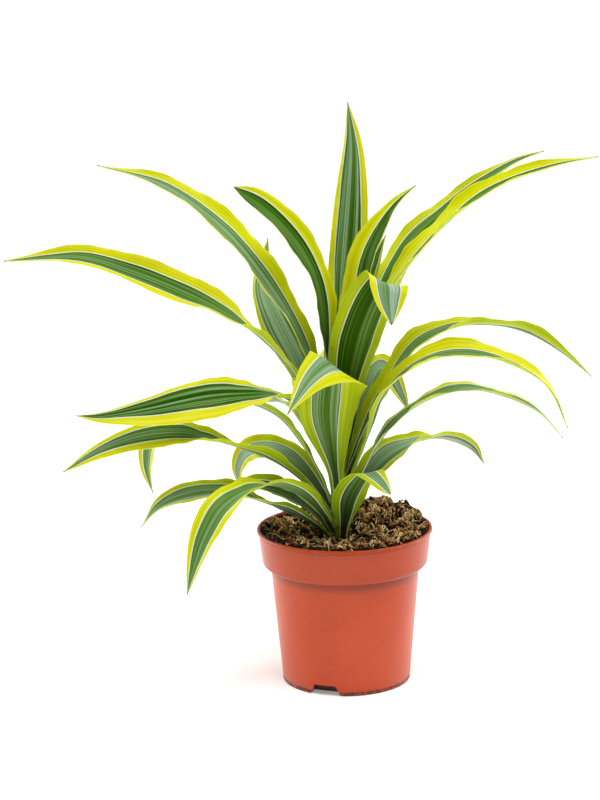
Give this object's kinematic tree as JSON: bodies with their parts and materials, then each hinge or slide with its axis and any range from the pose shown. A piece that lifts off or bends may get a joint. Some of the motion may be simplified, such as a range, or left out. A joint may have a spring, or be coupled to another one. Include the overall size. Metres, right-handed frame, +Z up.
{
  "type": "potted dracaena",
  "caption": "Potted dracaena with yellow-edged strap leaves on a short stem, in peat potting mix in a terracotta-coloured nursery pot",
  "frame": {"origin": "middle of the pot's foot, on the surface it stands on", "axes": "+Z up, -Y towards the front that the picture shows, +X to the right"},
  "size_m": [0.3962, 0.273, 0.3941],
  "materials": {
    "pot_plastic": "satin injection-moulded polypropylene, terracotta orange",
    "potting_mix": "moist fibrous peat with light fibres and crumbs",
    "green_stem": "smooth green living stem",
    "leaf_blade": "satin living leaf, dark green centre with grey stripes and lime-yellow margins"
  },
  "bodies": {
    "root": {"pot": "pot_plastic", "soil": "potting_mix", "stem": "green_stem", "leaf_top": "leaf_blade", "leaf_upper_left": "leaf_blade", "leaf_upper_right": "leaf_blade", "leaf_front_curl_high": "leaf_blade", "leaf_long_upper_left": "leaf_blade", "leaf_behind_left": "leaf_blade", "leaf_long_left": "leaf_blade", "leaf_mid_left": "leaf_blade", "leaf_mid_left_droop": "leaf_blade", "leaf_mid_left_back": "leaf_blade", "leaf_low_left": "leaf_blade", "leaf_left_loop": "leaf_blade", "leaf_lowest_left": "leaf_blade", "leaf_low_left_back": "leaf_blade", "leaf_front_left_droop": "leaf_blade", "leaf_front_curl": "leaf_blade", "leaf_front_curl_low": "leaf_blade", "leaf_long_upper_right": "leaf_blade", "leaf_upper_right_back": "leaf_blade", "leaf_right_arch_high": "leaf_blade", "leaf_right_arch_front": "leaf_blade", "leaf_right_arch_mid": "leaf_blade", "leaf_right_arch_low": "leaf_blade", "leaf_right_curl_back": "leaf_blade", "leaf_inner_back": "leaf_blade", "leaf_back_high": "leaf_blade", "leaf_back_right": "leaf_blade", "leaf_back_left": "leaf_blade", "leaf_back_low": "leaf_blade"}
  },
  "joints": []
}
